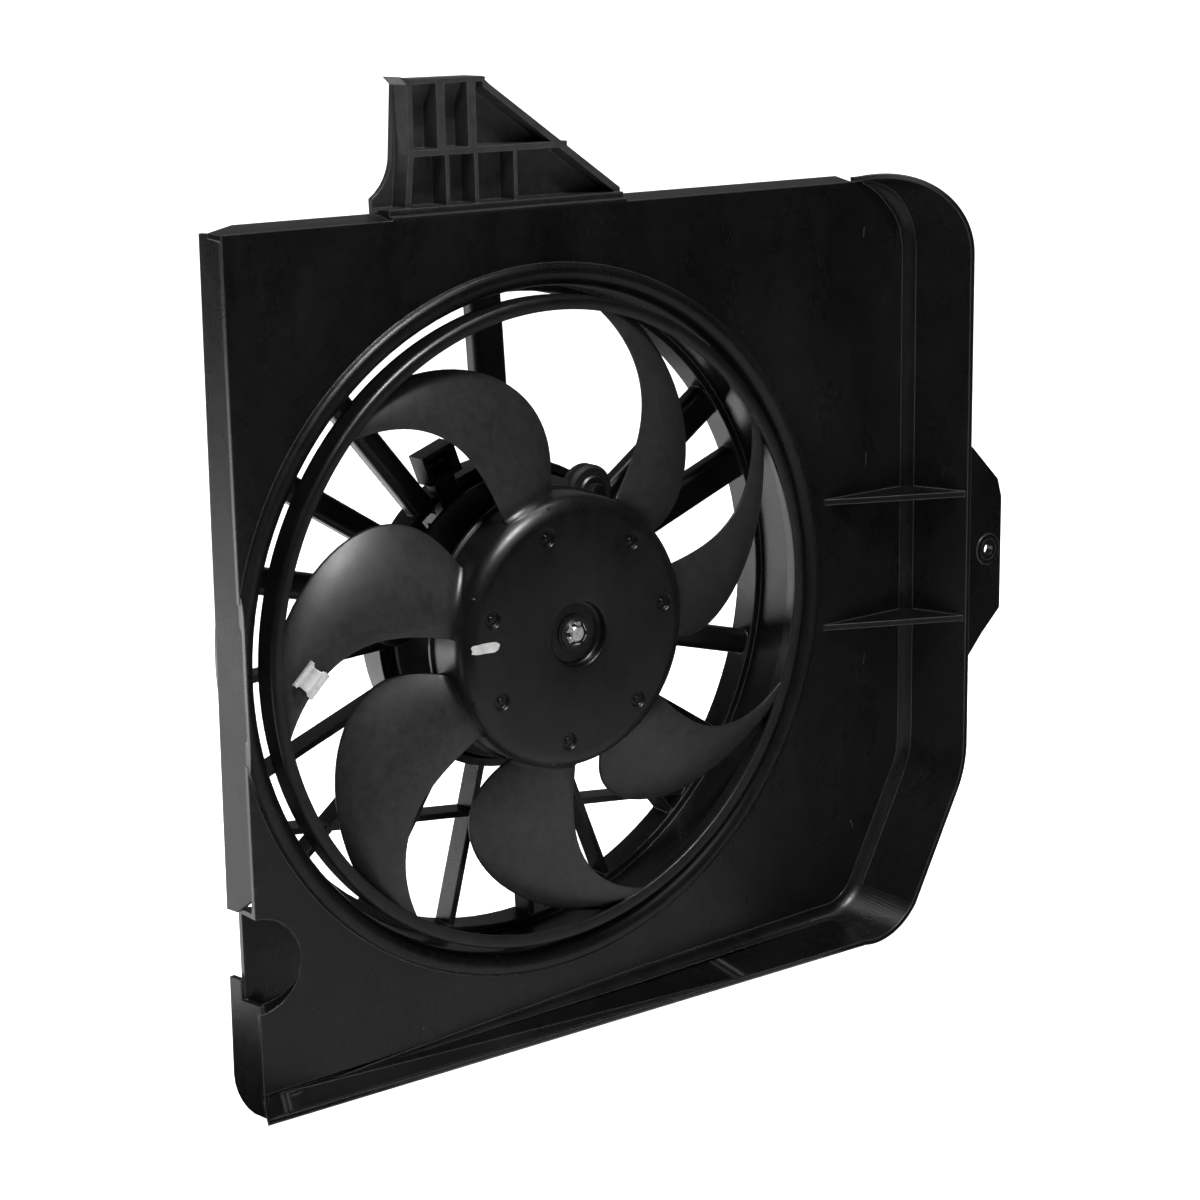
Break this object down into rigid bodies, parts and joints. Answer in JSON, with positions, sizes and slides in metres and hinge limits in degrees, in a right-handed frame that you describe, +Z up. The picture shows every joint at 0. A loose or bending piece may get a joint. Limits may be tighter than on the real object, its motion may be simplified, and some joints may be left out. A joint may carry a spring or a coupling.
{
  "type": "radiator cooling fan",
  "caption": "Radiator cooling fan: a moulded shroud with a flared skirt and a top bracket carries a brushed motor and a banded, forward-swept axial fan.",
  "frame": {"origin": "on the fan axis, in the plane of the skirt's front edge, which meets the radiator", "axes": "+Y along the fan axis with the air flow, away from the radiator; +Z up; +X to the right as seen from the radiator, towards the side tab"},
  "size_m": [0.4681, 0.1043, 0.4716],
  "materials": {
    "shroud_plastic": "moulded glass-filled nylon, satin black",
    "fan_plastic": "moulded nylon, satin black",
    "plug_plastic": "moulded, matt black",
    "can_paint": "black electrocoat",
    "zinc_steel": "zinc plated",
    "shaft_steel": "ground",
    "spring_steel": "bright spring steel",
    "bronze": "sintered, oiled",
    "brass": "plain",
    "tin": "tin plated",
    "copper": "enamelled wire",
    "lamination": "stamped laminations",
    "ferrite": "ground ferrite",
    "carbon": "pressed carbon",
    "rubber": "matt",
    "card": "phenolic board",
    "washer_nylon": "plain"
  },
  "bodies": {
    "shroud_assembly": {"shroud": "shroud_plastic", "tab_sleeve": "zinc_steel", "motor_can": "can_paint", "motor_flange": "can_paint", "ear_grommets": "rubber", "ear_sleeves": "zinc_steel", "motor_screws": "zinc_steel", "front_bearing": "bronze", "rear_bearing": "bronze", "front_retainer": "zinc_steel", "rear_retainer": "zinc_steel", "magnets": "ferrite", "end_cap": "can_paint", "through_bolts": "zinc_steel", "brush_card": "card", "brush_boxes": "brass", "brushes": "carbon", "brush_springs": "spring_steel", "choke_coils": "copper", "connector_housing": "plug_plastic", "terminals": "tin"},
    "rotor": {"fan": "fan_plastic", "balance_clip": "spring_steel", "hub_insert": "zinc_steel", "push_nut": "spring_steel", "motor_shaft": "shaft_steel", "shaft_clip": "spring_steel", "front_washer": "washer_nylon", "rear_washer": "washer_nylon", "armature_core": "lamination", "armature_windings": "copper", "commutator": "copper"}
  },
  "joints": [
    {"name": "fan_spin", "type": "hinge", "parent": "shroud_assembly", "child": "rotor", "pos_m": [0, 0.03, 0], "axis": [0, -1, 0], "continuous": true}
  ]
}
